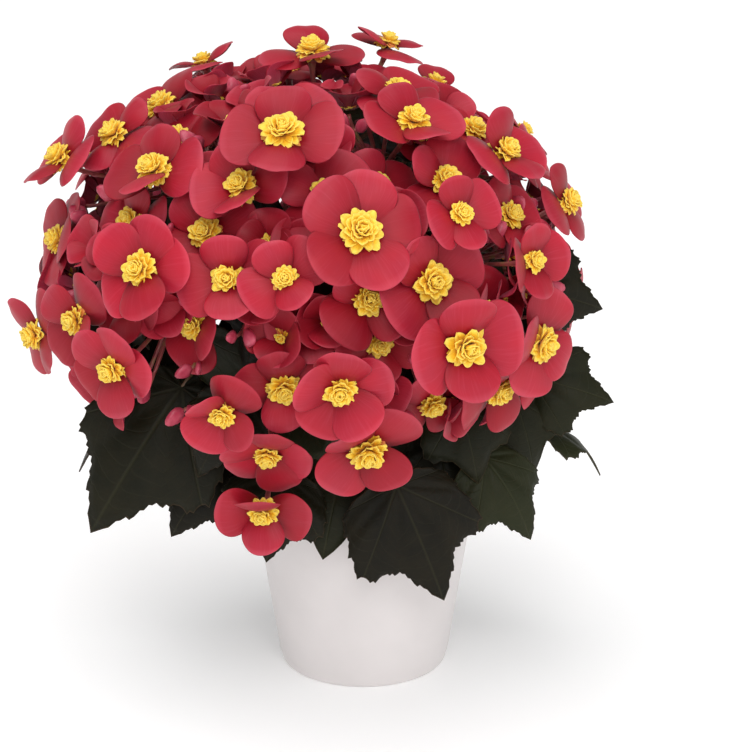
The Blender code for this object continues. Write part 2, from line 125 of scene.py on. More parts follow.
def leaf(stem, base, tip, facing, width, arch=8):
    """A leaf, in millimetres: the stem that bears it (0 for the crown), where its blade starts and
    ends, the way its upper side faces, its width and how far its midrib arches."""
    return Leaf(stem, np.array(base) * MM, np.array(tip) * MM, unit(facing), width * MM, arch * MM)


def unit(v):
    v = np.asarray(v, float)
    return v / np.linalg.norm(v, axis=-1, keepdims=True)


# Trusses of three flowers each, set on the show side, as the numbers that bloom takes.
SHOW_TRUSSES = [
    [(-31, 18, 10, 29, 5, 10), (-26, 28, 0, 29, 4, 40), (-50, 27, -5, 28, 4, 0)],
    [(-43, 6, -4, 28, 4, 20), (-54, -1, -3, 28, 4, 60), (-39, -7, 2, 27, 5, 0)],
    [(-43, 39, 2, 30, 4, 15), (-62, 53, -4, 28, 4, 50), (-74, 42, -2, 29, 4, 0)],
    [(-13, 36, 0, 29, 4, 30, -18), (-4, 47, 2, 32, 4, 0), (-10, 60, -2, 29, 4, 45)],
    [(-11, 16, 0, 28, 4, 10), (-27, 5, -5, 27, 4, 70), (-4, 15, 6, 24, 4, 35)],
    [(3, 36, -3, 28, 4, 60), (11, 26, 6, 33, 5, 0), (21, 43, -5, 26, 4, 20)],
    [(13, 14, 3, 29, 4, 45), (4, 5, -7, 26, 4, 10), (16, 1, -6, 24, 4, 0)],
    [(-14, -14, 8, 25, 4, 50), (-9, -31, 0, 27, 5, 0), (-12, -46, 0, 27, 4, 0, 0, 35)],
    [(-6, -14, -3, 28, 4, 0, 15), (3, -6, 6, 29, 5, 20), (13, -26, 4, 32, 4, 45)],
    [(28, 3, 10, 34, 4, 0), (25, 15, 3, 32, 4, 30), (31, -20, -2, 25, 4, 45)],
    [(46, -13, 2, 29, 4, 20), (49, -3, 4, 30, 4, 60), (64, -19, -5, 27, 4, 0)],
    [(31, 25, 7, 23, 4, 10), (38, 38, 0, 28, 4, 40), (57, 33, -4, 27, 4, 0)],
    [(47, 15, 4, 24, 4, 0), (42, 3, -7, 26, 4, 50), (80, 22, -2, 28, 4, 10)],
    [(36, 51, 0, 28, 4, 0), (50, 62, -2, 28, 4, 30), (56, 51, -3, 28, 4, 60)],
    [(57, 38, 2, 29, 4, 0), (76, 49, -3, 28, 4, 40), (95, 31, -3, 28, 4, 0)],
]

# On the far side the trusses repeat at even spacing: (elevation, first azimuth, step, count).
FAR_ROWS = [(42, 128, 47, 4), (0, 108, 34, 6), (76, 165, 180, 1)]
FAR_TRIPLE = [(-11, -10), (11, -8), (0, 12)]
FAR_RADIUS = 29
LIFTS = (3, -3, 0, 5, -2)

# Stem tops: azimuth and elevation on the dome.
STEM_TOPS = [(0, 84), (-48, 24), (-16, 18), (38, 14), (8, -28), (78, 28), (118, 16), (158, 22), (206, 22)]
STEM_TOPS += [(258, 22)]

LEAVES = [
    leaf(0, (-93, -55, 200), (-149, -74, 114), (-0.15, -1, 0.3), 84),
    leaf(0, (-66, -71, 194), (-90, -84, 148), (0.0, -1, 0.35), 50),
    leaf(0, (-70, -50, 152), (-106, -66, 106), (-0.2, -1, 0.5), 56),
    leaf(0, (-42, -72, 146), (-53, -94, 101), (0, -1, 0.45), 62),
    leaf(0, (14, -78, 148), (43, -90, 79), (0.1, -1, 0.35), 76),
    leaf(0, (31, -38, 164), (35, -48, 128), (0.2, -1, 0.5), 36),
    leaf(0, (62, -54, 152), (93, -62, 103), (0.45, -1, 0.5), 52),
    leaf(6, (78, -12, 236), (133, -15, 222), (0, -1, 0.45), 60),
    leaf(4, (88, -10, 180), (140, -17, 167), (0.1, -1, 0.5), 52),
    leaf(0, (92, 8, 146), (139, 10, 117), (0.5, 0.1, 1), 40),
    leaf(0, (-106, -12, 180), (-164, -14, 130), (-0.7, -0.1, 0.7), 62),
    leaf(0, (-92, 48, 160), (-140, 76, 104), (-0.7, 0.4, 0.7), 74),
    leaf(0, (-58, 74, 178), (-82, 116, 132), (-0.3, 0.8, 0.6), 70),
    leaf(0, (-14, 82, 152), (-14, 128, 94), (0, 0.8, 0.6), 76),
    leaf(0, (40, 66, 172), (72, 102, 122), (0.3, 0.8, 0.6), 72),
    leaf(0, (70, 42, 160), (122, 60, 110), (0.7, 0.4, 0.7), 70),
    leaf(7, (70, 40, 198), (122, 52, 182), (0.5, 0.4, 0.8), 56),
]


# ---- where everything goes ----


def far_trusses():
    """Trusses of three on the far side, with lifts and rolls that step through a short cycle."""
    made = []
    for elevation, first, step, count in FAR_ROWS:
        for k in range(count):
            azimuth = first + step * k
            truss = []
            for n, (across, along) in enumerate(FAR_TRIPLE):
                height = elevation + along
                reach = across / max(0.35, math.cos(math.radians(height)))
                turn = 3 * len(made) + n
                lift = LIFTS[turn % len(LIFTS)]
                size = FAR_RADIUS + turn % 3
                truss.append(bloom(azimuth + reach, height, lift, size, 4 + turn % 2, 37 * turn % 90))
            made.append(truss)
    return made


def bearing(azimuth, elevation):
    a, e = math.radians(azimuth), math.radians(elevation)
    return np.array((math.sin(a) * math.cos(e), -math.cos(a) * math.cos(e), math.sin(e)))


def on_dome(azimuth, elevation, scale=1.0):
    """The point of the dome at these degrees, and its outward normal."""
    way = bearing(azimuth, elevation)
    return DOME_CENTRE + DOME_RADII * way * scale, unit(way / DOME_RADII)


def axes_of(face):
    """Sideways and upward directions of something that faces this way."""
    side = unit(np.cross((0, 0, 1), face) + 1e-9)
    return side, np.cross(face, side)


def aimed(b):
    """A flower's starting place and the way it faces."""
    place, normal = on_dome(b.azimuth, b.elevation)
    side, up = axes_of(normal)
    turn, tip = math.tan(math.radians(b.turn)), math.tan(math.radians(b.tip))
    return place + normal * b.lift, unit(normal + side * turn + up * tip)


def cupped(radius, face, share, count):
    """Points on a ring of a flower's cup, from its base."""
    angles = np.linspace(0, 2 * math.pi, count, endpoint=False)[:, None]
    side, up = axes_of(face)
    flat = np.cos(angles) * side + np.sin(angles) * up
    return radius * (share * flat + CUP * share**2 * face)


def seen_from(base, face, points):
    """Heights of points above a flower's base plane, and their distances from its axis."""
    offset = points - base
    height = offset @ face
    return height, np.linalg.norm(offset - height[:, None] * face, axis=1)


def cup_height(across, radius):
    """How far a flower's cup stands forward of its base at a distance from its axis."""
    return CUP * across**2 / radius


def cup_contact(cup_points, base, face, radius, over):
    """How far each of a flower's points comes too near another's cup, and which way that pushes it."""
    height, across = seen_from(base, face, cup_points)
    surface = cup_height(across, radius)
    if over > 0:
        surface = surface + EYE_HEIGHT * np.clip(1.6 - (across / (EYE_RADIUS * radius)) ** 2, 0, 1)
    bite = CUP_CLEARANCE - over * (height - surface)
    touching = (across < radius + MM) & (bite > 0) & (bite < DEEPEST_BITE)
    return over * np.where(touching, bite, 0.0)[:, None] * face, np.count_nonzero(touching)


def stalk_contact(stalk, base, face, radius):
    """The sideways push that keeps an upper flower's stalk outside a lower flower's rim."""
    height, across = seen_from(base, face, stalk)
    nearest = np.argmin(np.abs(height - cup_height(np.minimum(across, radius), radius)))
    short = radius + STALK_CLEARANCE - across[nearest]
    aside = stalk[nearest] - base - height[nearest] * face
    return 0.25 * max(0.0, short) * unit(aside + 1e-9)


def settle(blooms):
    """Flowers push each other aside, as they do on the plant, until no two cross: of two that overlap
    the one with more lift lies over the other, and its stalk passes outside the other's rim."""
    places, faces = (np.array(x) for x in zip(*(aimed(b) for b in blooms)))
    first_places, first_faces = places.copy(), faces.copy()
    radii = np.array([b.radius for b in blooms])
    order = np.argsort(np.argsort([b.lift for b in blooms], kind="stable"))
    for _ in range(SETTLING_ROUNDS):
        cups = [
            np.concatenate([cupped(r, f, share, n) for share, n in ((1.0, 14), (0.65, 8), (0.3, 4))])
            for r, f in zip(radii, faces)
        ]
        apart = np.linalg.norm(places[:, None] - places[None], axis=2)
        near = (apart < radii[:, None] + radii[None] + 4 * MM) & (apart > 0)
        push, twist = np.zeros_like(places), np.zeros_like(places)
        for i, j in zip(*np.nonzero(near)):
            over = 1.0 if order[i] > order[j] else -1.0
            force, touching = cup_contact(places[i] + cups[i], places[j], faces[j], radii[j], over)
            shove = EASE * force.sum(0) / max(1, touching)
            if over > 0:
                stalk = places[i] - STALK_STEPS * faces[i]
                shove = shove + stalk_contact(stalk, places[j], faces[j], radii[j])
            push[i] += shove
            push[j] -= shove
            twist[i] += 0.5 * np.cross(cups[i], force).sum(0) / (radii[i] ** 2 * len(force))
        places = places + push + HOMING * (first_places - places)
        faces = unit(faces + np.cross(twist, faces) + HOMING * (first_faces - faces))
    return places, faces


def bend(start, start_way, end, end_way, count):
    """Points along a smooth curve that leaves start along start_way and arrives along end_way."""
    t = np.linspace(0, 1, count)[:, None]
    a, b = start + start_way, end - end_way
    return (1 - t) ** 3 * start + 3 * (1 - t) ** 2 * t * a + 3 * (1 - t) * t**2 * b + t**3 * end


def grown(start, way, pull, end, end_way, count):
    """Points along a stalk that springs square from what bears it, then bends to its end."""
    clear = start + way * ROOTING
    return np.vstack([start, bend(clear, way * pull, end, end_way, count - 1)])


def on_crown(azimuth, elevation):
    """A point just clear of the crown's mound, and the way out from it."""
    way = bearing(azimuth, elevation)
    return np.array((0, 0, CROWN_HEIGHT)) + way * (CROWN_RADIUS + GAP), way


def spread_round(places, first):
    """Evenly spaced azimuths for these places round the crown, in the order that they lie in."""
    order = sorted(range(len(places)), key=lambda k: math.atan2(places[k][0], -places[k][1]))
    found = [0.0] * len(places)
    for rank, k in enumerate(order):
        found[k] = first + 360.0 * rank / len(places)
    return found


def stem_paths():
    """For each stem, the points along it from the crown to its top."""
    tops = [on_dome(a, e, STEM_REACH)[0] for a, e in STEM_TOPS]
    azimuths = [0.0] + spread_round(tops[1:], first=-185)
    paths = []
    for k, top in enumerate(tops):
        elevation = 90 if k == 0 else STEM_START_ELEVATION
        start, way = on_crown(azimuths[k], elevation)
        length = np.linalg.norm(top - start)
        arrive = unit(top - DOME_CENTRE * (1, 1, 0.72))
        paths.append(grown(start, way, length * 0.4, top, arrive * length * 0.3, 21))
    return paths


def on_stem(path, towards):
    """A point just clear of a stem's middle node, on the side that faces a place, and the way out."""
    middle = round(STEM_NODE_AT * (len(path) - 1))
    axis = unit(path[middle + 1] - path[middle - 1])
    reach = towards - path[middle]
    way = unit(reach - axis * (reach @ axis))
    return path[middle] + way * (STEM_NODE_RADIUS + GAP), way


def blade_axes(spec):
    """A leaf's length, then its directions along its midrib, to its side and out of its upper face."""
    along = unit(spec.tip - spec.base)
    side = unit(np.cross(along, spec.facing))
    return np.linalg.norm(spec.tip - spec.base), along, side, np.cross(side, along)


def midrib_point(spec, t):
    """A point of the model's leaf on its arched midrib, with t from 0 at its base to 1 at its tip."""
    length, along, _, face = blade_axes(spec)
    return spec.base + along * length * t + face * spec.arch * 4 * t * (1 - t)


# ---- how finely things are made ----

TEPAL_CELLS = (7, 7)  # across and along one tepal, before it is smoothed once
TEPAL_SHEET = 0.5 * MM
PETALOID_CELLS = (4, 4)
PETALOID_SHEET = 0.5 * MM
LEAF_CELLS = (216, 10)  # round and out from where the veins meet
SMALL_LEAF_CELLS = (66, 5)
LEAF_SHEET = 0.8 * MM

# Each whorl of a flower's heart: petaloids, lean from upright in degrees, length and width as shares
# of the heart's radius, how far the tips curl in, and how high the whorl springs.
WHORLS = [
    (14, 86, 0.90, 0.54, -0.16, 1.8 * MM),
    (12, 70, 0.92, 0.54, -0.06, 2.6 * MM),
    (9, 54, 0.88, 0.56, 0.12, 3.4 * MM),
    (8, 39, 0.82, 0.54, 0.18, 3.8 * MM),
    (5, 24, 0.76, 0.52, 0.24, 4.2 * MM),
    (3, 9, 0.68, 0.50, 0.28, 4.4 * MM),
]

HEART_RADIUS = 0.372  # of a flower of MIDDLING radius, as a share; hearts grow faster than tepals
MIDDLING = 29 * MM
HEART_GROWTH = 0.6
GAP_DEPTH = 0.89  # young flowers and buds fill the gaps this far out, as a share of the dome's radius
GAP_SPACING = 21.5 * MM

SHOW_SIDE = np.array((0.0, -0.954, 0.3))  # the way the plant's show side faces

LEAF_VEINS = 8  # main veins round a leaf
LEAF_SPREAD = math.radians(169)  # from the midrib round to the edge of the notch at the stalk
LEAF_TONES = {7: 0.25, 9: 0.15, 10: 0.3}  # the paler leaves by number, from 0 for dark to 1
LEANS = {1: -0.16, 7: 0.14}  # by number, how much wider a leaf's one side is, where that shows
INNER_LEAVES = 34  # small leaves inside the dome, on its stems

# Small leaves listed one by one, each with the stem that bears it.
LOW_LEAVES = [
    leaf(5, (-8, -58, 156), (-22, -88, 100), (-0.1, -1, 0.4), 60, 5),
    leaf(2, (-112, -24, 226), (-128, -38, 176), (-0.3, -1, 0.3), 54, 5),
    leaf(5, (16, -72, 220), (28, -92, 174), (0.1, -1, 0.3), 50, 5),
    leaf(5, (-34, -70, 190), (-46, -86, 144), (-0.1, -1, 0.3), 50, 5),
    leaf(4, (52, -50, 184), (64, -66, 136), (0.2, -1, 0.3), 52, 5),
    leaf(4, (84, -20, 176), (98, -32, 130), (0.3, -1, 0.3), 48, 5),
    leaf(4, (42, -42, 164), (48, -58, 114), (0.1, -1, 0.3), 52, 5),
    leaf(5, (-60, -54, 236), (-62, -66, 184), (-0.1, -1, 0.2), 52, 5),
    leaf(1, (-16, 40, 336), (-14, -14, 322), (0, -0.5, 1), 56, 5),
    leaf(2, (-146, -8, 252), (-156, -18, 200), (-0.6, -1, 0.3), 50, 5),
    leaf(2, (-118, -14, 268), (-132, -24, 216), (-0.5, -1, 0.3), 50, 5),
]


# ---- materials ----

# Scales of patterns, in cells a metre, each from the size of what it draws.
TEPAL_CLOUDS = 60.0  # 17 mm, slow shifts of colour over a tepal
TEPAL_CELLS_SEEN = 900.0  # 1.1 mm, a petal's skin cells drawn coarse enough to show
LEAF_PATCHES = 70.0  # 14 mm, darker and lighter green
LEAF_QUILTING = 380.0  # 2.6 mm, between the finest veins
SKIN_MOTTLES = 240.0  # 4 mm, along stems and leaf stalks
STALK_MOTTLES = 160.0  # 6 mm, on flower stalks and bracts
BUD_MOTTLES = 120.0  # 8 mm
PEAT_CRUMBS = 320.0  # 3 mm
GLAZE_CLOUDS = 25.0  # 40 mm
GLAZE_PEEL = 420.0  # 2.4 mm

# Settings that many nodes share.
TIMES = {"operation": "MULTIPLY"}
COLOUR = {"data_type": "RGBA"}


def hex_linear(code):
    """An sRGB hex colour as linear RGBA."""
    values = [int(code[k : k + 2], 16) / 255 for k in (0, 2, 4)]
    return tuple(v / 12.92 if v <= 0.04045 else ((v + 0.055) / 1.055) ** 2.4 for v in values) + (1.0,)


def add(tree, kind, *values, out=None, stops=(), **named):
    """Adds a shader node and gives its first output, or the one named by out. Values go to its inputs
    in order; a name with a capital is an input too, and any other a setting. Text is a hex colour."""
    made = tree.nodes.new("ShaderNode" + kind)
    for name, value in named.items():
        if name.islower():
            setattr(made, name, value)
    inputs = [*zip([socket for socket in made.inputs if socket.enabled], values)]
    inputs += [(made.inputs[name], value) for name, value in named.items() if not name.islower()]
    for socket, value in inputs:
        if isinstance(value, bpy.types.NodeSocket):
            tree.links.new(value, socket)
        else:
            socket.default_value = hex_linear(value) if isinstance(value, str) else value
    if stops:
        elements = made.color_ramp.elements
        while len(elements) < len(stops):
            elements.new(0.5)
        for element, (position, code) in zip(elements, stops):
            element.position, element.color = position, hex_linear(code)
    return next(socket for socket in made.outputs if socket.enabled and out in (None, socket.name))


def surface(name, **constants):
    """A material, with its shader's constant inputs by name."""
    made = bpy.data.materials.new(name)
    made.use_nodes = True
    shader = made.node_tree.nodes["Principled BSDF"]
    for key, value in constants.items():
        socket = shader.inputs[key.replace("_", " ")]
        socket.default_value = hex_linear(value) if isinstance(value, str) else value
    return made, made.node_tree, shader


def patterned(made, colour, height, strength, depth):
    """Links a pattern's colour, and its height as bump up to depth metres deep, to a material."""
    tree = made.node_tree
    shader = tree.nodes["Principled BSDF"]
    tree.links.new(colour, shader.inputs["Base Color"])
    bump = add(tree, "Bump", Strength=strength, Distance=depth, Height=height)
    tree.links.new(bump, shader.inputs["Normal"])
    return made


def sheet_place(tree):
    """Across and along a petal or a leaf, from its own UV map, and its tone attribute."""
    place = add(tree, "UVMap", uv_map="sheet")
    across, along = (add(tree, "SeparateXYZ", place, out=axis) for axis in "XY")
    return across, along, add(tree, "Attribute", attribute_name="tone", out="Fac")


def streaks(tree, across, along, tone, count):
    """Fine lines that fan out from a petal's base: noise squeezed sideways, count lines at its edge."""
    centred = add(tree, "Math", across, 0.5, operation="SUBTRACT")
    spread = add(tree, "Math", along, 0.75, 0.35, operation="MULTIPLY_ADD")
    fanned = add(tree, "Math", centred, spread, operation="DIVIDE")
    parts = [add(tree, "Math", *pair, **TIMES) for pair in ((fanned, count), (along, 1.6), (tone, 37.0))]
    return add(tree, "TexNoise", add(tree, "CombineXYZ", *parts), Scale=1.0, Detail=2.0, Roughness=0.6)


def petal_material(name, stops, pale, vein_share, tones):
    """Begonia tepal: waxy cells over pigment, so soft broad highlights, faint veins and a deeper base,
    which on the face is partly pigment and partly painted shade from the heart and the overlapping tepals.
    """
    sheen = {"Sheen_Weight": 0.07, "Sheen_Roughness": 0.4, "Sheen_Tint": "FFB9C6"}
    made, tree, _ = surface(name, Roughness=0.46, Specular_IOR_Level=0.24, **sheen)
    across, along, tone = sheet_place(tree)
    place = add(tree, "TexCoord", out="Object")
    veins = streaks(tree, across, along, tone, 30.0)
    vein_mask = add(tree, "MapRange", veins, 0.50, 0.72, 0.0, vein_share)
    cloud = add(tree, "TexNoise", place, Scale=TEPAL_CLOUDS, Detail=2.0)
    cloudy = add(tree, "MapRange", cloud, 0.35, 0.7, 0.0, 0.35)
    toned = add(tree, "MapRange", tone, 0.0, 1.0, 0.0, 0.55)
    # ramp along the tepal: on the face its dark base is partly pigment and partly painted shade from the
    # heart and the overlapping tepals; on the back it is pigment
    colour = add(tree, "ValToRGB", along, stops=stops)
    colour = add(tree, "Mix", vein_mask, colour, pale, **COLOUR)
    colour = add(tree, "Mix", cloudy, colour, tones[0], blend_type="SOFT_LIGHT", **COLOUR)
    colour = add(tree, "Mix", toned, colour, tones[1], blend_type="MULTIPLY", **COLOUR)
    cells = add(tree, "TexNoise", place, Scale=TEPAL_CELLS_SEEN, Detail=1.0)
    raised = add(tree, "Math", veins, 0.5, **TIMES)
    height = add(tree, "Math", cells, 0.25, raised, operation="MULTIPLY_ADD")
    return patterned(made, colour, height, 0.12, 0.2 * MM)


def heart_material():
    """Yellow petaloids: thin and matt, with painted shade that runs from deep gold where they crowd at
    their bases to pale at their ruffled tips.
    """
    made, tree, _ = surface("heart_yellow", Roughness=0.55, Sheen_Weight=0.15)
    across, along, tone = sheet_place(tree)
    lines = streaks(tree, across, along, tone, 9.0)
    share = add(tree, "MapRange", lines, 0.45, 0.75, 0.0, 0.5)
    blush = add(tree, "MapRange", tone, 0.55, 1.0, 0.0, 1.0)
    # painted shade along each petaloid: deep gold at its base, where the petaloids crowd, pale at its tip
    stops = [(0.0, "D8900E"), (0.35, "F8BE1E"), (0.7, "FFD434"), (1.0, "FFE05A")]
    colour = add(tree, "ValToRGB", along, stops=stops)
    colour = add(tree, "Mix", share, colour, "EBB41E", **COLOUR)
    colour = add(tree, "Mix", blush, colour, "E07A38", **COLOUR)
    return patterned(made, colour, lines, 0.5, 0.3 * MM)


def leaf_material(name, deep, light, vein, rim, roughness, vein_height):
    """Begonia leaf: leathery and slightly glossy, quilted between the veins that fan from the stalk."""
    made, tree, _ = surface(name, Roughness=roughness, Specular_IOR_Level=0.16)
    across, along, tone = sheet_place(tree)
    place = add(tree, "TexCoord", out="Object")
    sectors = add(tree, "Math", across, float(LEAF_VEINS), **TIMES)
    off_vein = add(tree, "Math", sectors, 0.5, operation="PINGPONG")  # 0 on a main vein, 0.5 midway
    main = add(tree, "Math", off_vein, along, **TIMES)
    main_line = add(tree, "MapRange", main, 0.004, 0.018, 1.0, 0.0)
    outward = add(tree, "Math", along, 7.0, **TIMES)
    slanted = add(tree, "Math", off_vein, -4.0, outward, operation="MULTIPLY_ADD")
    branch = add(tree, "Math", slanted, 0.5, operation="PINGPONG")  # 0.5 on a side vein
    side_line = add(tree, "MapRange", branch, 0.42, 0.5, 0.0, 0.35)
    lines = add(tree, "Math", main_line, side_line, operation="MAXIMUM")
    patches = add(tree, "TexNoise", place, Scale=LEAF_PATCHES, Detail=4.0)
    edge = add(tree, "MapRange", along, 0.982, 0.996, 0.0, 0.6)
    paler = add(tree, "MapRange", tone, 0.0, 1.0, 0.0, 0.6)
    colour = add(tree, "ValToRGB", patches, stops=[(0.32, deep), (0.72, light)])
    for share, over in ((add(tree, "Math", lines, 0.55, **TIMES), vein), (edge, rim), (paler, "4E5A30")):
        colour = add(tree, "Mix", share, colour, over, **COLOUR)
    cells = add(tree, "TexVoronoi", place, Scale=LEAF_QUILTING)
    quilt = add(tree, "Math", lines, vein_height, **TIMES)
    height = add(tree, "Math", cells, 0.35, quilt, operation="MULTIPLY_ADD")
    return patterned(made, colour, height, 0.6, 0.5 * MM)


def mottled_material(name, stops, scale, detail, strength, depth, **constants):
    """A material whose colour and bump both follow one noise, scale cells a metre."""
    made, tree, _ = surface(name, **constants)
    mottle = add(tree, "TexNoise", add(tree, "TexCoord", out="Object"), Scale=scale, Detail=detail)
    return patterned(made, add(tree, "ValToRGB", mottle, stops=stops), mottle, strength, depth)


def fleshy_material(name, low, middle, high, roughness, scale):
    """Succulent stalk or bud: a smooth skin over wet flesh, mottled along its length."""
    return mottled_material(name, [low, middle, high], scale, 3.0, 0.3, 0.3 * MM, Roughness=roughness)


def soil_material():
    """Potting soil: damp peat crumbs, dark brown, with paler fibres and a few grey grains."""
    stops = [(0.3, "17100B"), (0.5, "2E2117"), (0.66, "4A3726"), (0.8, "7A6650")]
    return mottled_material("damp_peat", stops, PEAT_CRUMBS, 6.0, 0.9, 1.2 * MM, Roughness=0.92)


def ceramic_material():
    """White pot: earthenware under a satin glaze, so smooth, warm white, with a faint orange peel."""
    made, tree, shader = surface("satin_glazed_white", IOR=1.5, Coat_Weight=0.12, Coat_Roughness=0.3)
    place = add(tree, "TexCoord", out="Object")
    clouds = add(tree, "TexNoise", place, Scale=GLAZE_CLOUDS, Detail=3.0)
    tree.links.new(add(tree, "MapRange", clouds, 0.3, 0.7, 0.36, 0.44), shader.inputs["Roughness"])
    colour = add(tree, "ValToRGB", clouds, stops=[(0.3, "DBD5D4"), (0.7, "E2DCDB")])
    peel = add(tree, "TexNoise", place, Scale=GLAZE_PEEL, Detail=1.0)
    return patterned(made, colour, peel, 0.12, 0.1 * MM)


# ---- shaping ----


def started():
    """An empty bmesh with the sheet UV map and the tone layer that the materials read."""
    bm = bmesh.new()
    bm.loops.layers.uv.new("sheet")
    bm.verts.layers.float.new("tone")
    return bm


def painted(faces, slot):
    """Gives faces their material slot and smooth shading."""
    for face in faces:
        face.material_index = slot
        face.smooth = True


def add_sheet(bm, cells, place_point, tone, slot=0):
    """Adds a grid, sent point by point where place_point(u, v) says, with u and v from -1 to 1."""
    made = bmesh.ops.create_grid(bm, x_segments=cells[0], y_segments=cells[1], size=1.0)["verts"]
    flat = {vertex: vertex.co.xy for vertex in made}
    uv, shade = bm.loops.layers.uv["sheet"], bm.verts.layers.float["tone"]
    faces = {face for vertex in made for face in vertex.link_faces}
    painted(faces, slot)
    for loop in (loop for face in faces for loop in face.loops):
        loop[uv].uv = (flat[loop.vert] + Vector((1, 1))) / 2
    for vertex, (u, v) in flat.items():
        vertex[shade] = tone
        vertex.co = place_point(u, v)
    return made


def rounded(u, v):
    """A point of a square sent to the disc inside it, so that a grid gets a round outline."""
    return u * math.sqrt(1 - v * v / 2), v * math.sqrt(1 - u * u / 2)


def eased(t):
    t = min(1.0, max(0.0, t))
    return t * t * (3 - 2 * t)


def add_tube(bm, path, radii, slot=0):
    """Adds a round stalk through these points, closed at both ends."""
    curve = bpy.data.curves.new("stalk", "CURVE")
    curve.dimensions = "3D"
    curve.bevel_depth = 1.0
    curve.bevel_resolution = 3
    curve.use_fill_caps = True
    spline = curve.splines.new("POLY")
    spline.points.add(len(path) - 1)
    for point, place, radius in zip(spline.points, path, radii):
        point.co = (*place, 1.0)
        point.radius = radius
    holder = bpy.data.objects.new("stalk", curve)
    mesh = bpy.data.meshes.new_from_object(holder)
    before = set(bm.faces)
    bm.from_mesh(mesh)
    bpy.data.objects.remove(holder)
    bpy.data.curves.remove(curve)
    bpy.data.meshes.remove(mesh)
    fresh = {v for face in bm.faces if face not in before for v in face.verts}
    bmesh.ops.remove_doubles(bm, verts=list(fresh), dist=WELD)
    painted((face for face in bm.faces if face not in before), slot)


def add_ball(bm, place, axes, sizes, slot=0, shaped=None, subdivisions=2):
    """Adds a rounded lump: axes are its three directions and sizes its half lengths along them."""
    made = bmesh.ops.create_icosphere(bm, subdivisions=subdivisions, radius=1.0)["verts"]
    shade = bm.verts.layers.float["tone"]
    for vertex in made:
        shares = shaped(vertex.co) if shaped else vertex.co
        vertex.co = place + sum(axis * size * k for axis, size, k in zip(axes, sizes, shares))
        vertex[shade] = 0.3
    painted({face for vertex in made for face in vertex.link_faces}, slot)


def placed(name, data, place=(0, 0, 0), turn=(0, 0, 0)):
    """An object in the scene with this mesh, light or camera."""
    made = bpy.data.objects.new(name, data)
    made.location, made.rotation_euler = place, turn
    bpy.context.scene.collection.objects.link(made)
    return made


def meshed(bm, name, materials):
    """The bmesh as an object in the scene, with its materials."""
    mesh = bpy.data.meshes.new(name)
    bm.to_mesh(mesh)
    bm.free()
    for material in materials:
        mesh.materials.append(material)
    return placed(name, mesh)


def landed(bm, name, materials, node):
    """The bmesh as a piece that rides on the plant's one body and stands for a node of the model."""
    piece = meshed(bm, name, materials)
    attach(piece, "root")
    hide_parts(node)
    return piece


def thickened(piece, thickness, backs=0, smoothing=0):
    """Gives a piece's sheets their thickness, with the material slot of their backs, and rounds them."""
    piece.data.validate()
    solid = piece.modifiers.new("thickness", "SOLIDIFY")
    solid.thickness = thickness
    solid.offset = -1.0
    solid.material_offset = backs
    solid.material_offset_rim = 0
    solid.use_even_offset = False
    if smoothing:
        smooth = piece.modifiers.new("smooth", "SUBSURF")
        smooth.levels = smooth.render_levels = smoothing


# ---- the pot and what is in it ----


def pot_inside(height):
    """The radius of the pot's inner wall at this height."""
    low = POT_BASE_RADIUS + (POT_RIM_RADIUS - POT_BASE_RADIUS) / POT_HEIGHT * POT_FLOOR - POT_WALL
    high = POT_RIM_RADIUS - POT_WALL
    share = (height - POT_FLOOR) / (POT_HEIGHT - POT_WALL / 2 - POT_FLOOR)
    return low + (high - low) * share


def spun(bm, profile, steps):
    """Turns a profile of (radius, height) points, from axis to axis, about Z."""
    points = [bm.verts.new((r, 0, z)) for r, z in profile]
    edges = [bm.edges.new(pair) for pair in zip(points, points[1:])]
    whole = {"cent": (0, 0, 0), "axis": (0, 0, 1), "angle": 2 * math.pi, "use_merge": True}
    bmesh.ops.spin(bm, geom=points + edges, steps=steps, **whole)
    bmesh.ops.remove_doubles(bm, verts=bm.verts, dist=WELD)
    bmesh.ops.recalc_face_normals(bm, faces=bm.faces)
    painted(bm.faces, 0)


def make_pot():
    """The pot: foot, taper, rounded rim and inside, turned as one profile."""
    bm = started()
    bend_in = POT_BASE_RADIUS - FOOT_ROUNDING
    foot = [
        (bend_in + FOOT_ROUNDING * math.sin(a), FOOT_ROUNDING * (1 - math.cos(a)))
        for a in np.linspace(0, math.pi / 2, 8)
    ]
    lip = POT_WALL / 2
    rim = [
        (POT_RIM_RADIUS - lip + lip * math.cos(a), POT_HEIGHT - lip + lip * math.sin(a))
        for a in np.linspace(0, math.pi, 12)
    ]
    taper = POT_RIM_RADIUS - POT_BASE_RADIUS
    walls = [(POT_BASE_RADIUS + taper * s, POT_HEIGHT * s) for s in (0.08, 0.3, 0.6, 0.9)]
    under = [(0, 0), (bend_in - 2 * MM, 0)]
    inside = [(pot_inside(z), z) for z in (0.07, 0.03, POT_FLOOR + 2 * MM)]
    floor = [(pot_inside(POT_FLOOR) - 2 * MM, POT_FLOOR), (0, POT_FLOOR)]
    spun(bm, [*under, *foot, *walls, *rim, *inside, *floor], 160)
    landed(bm, "pot_glazed", [ceramic_material()], "pot")


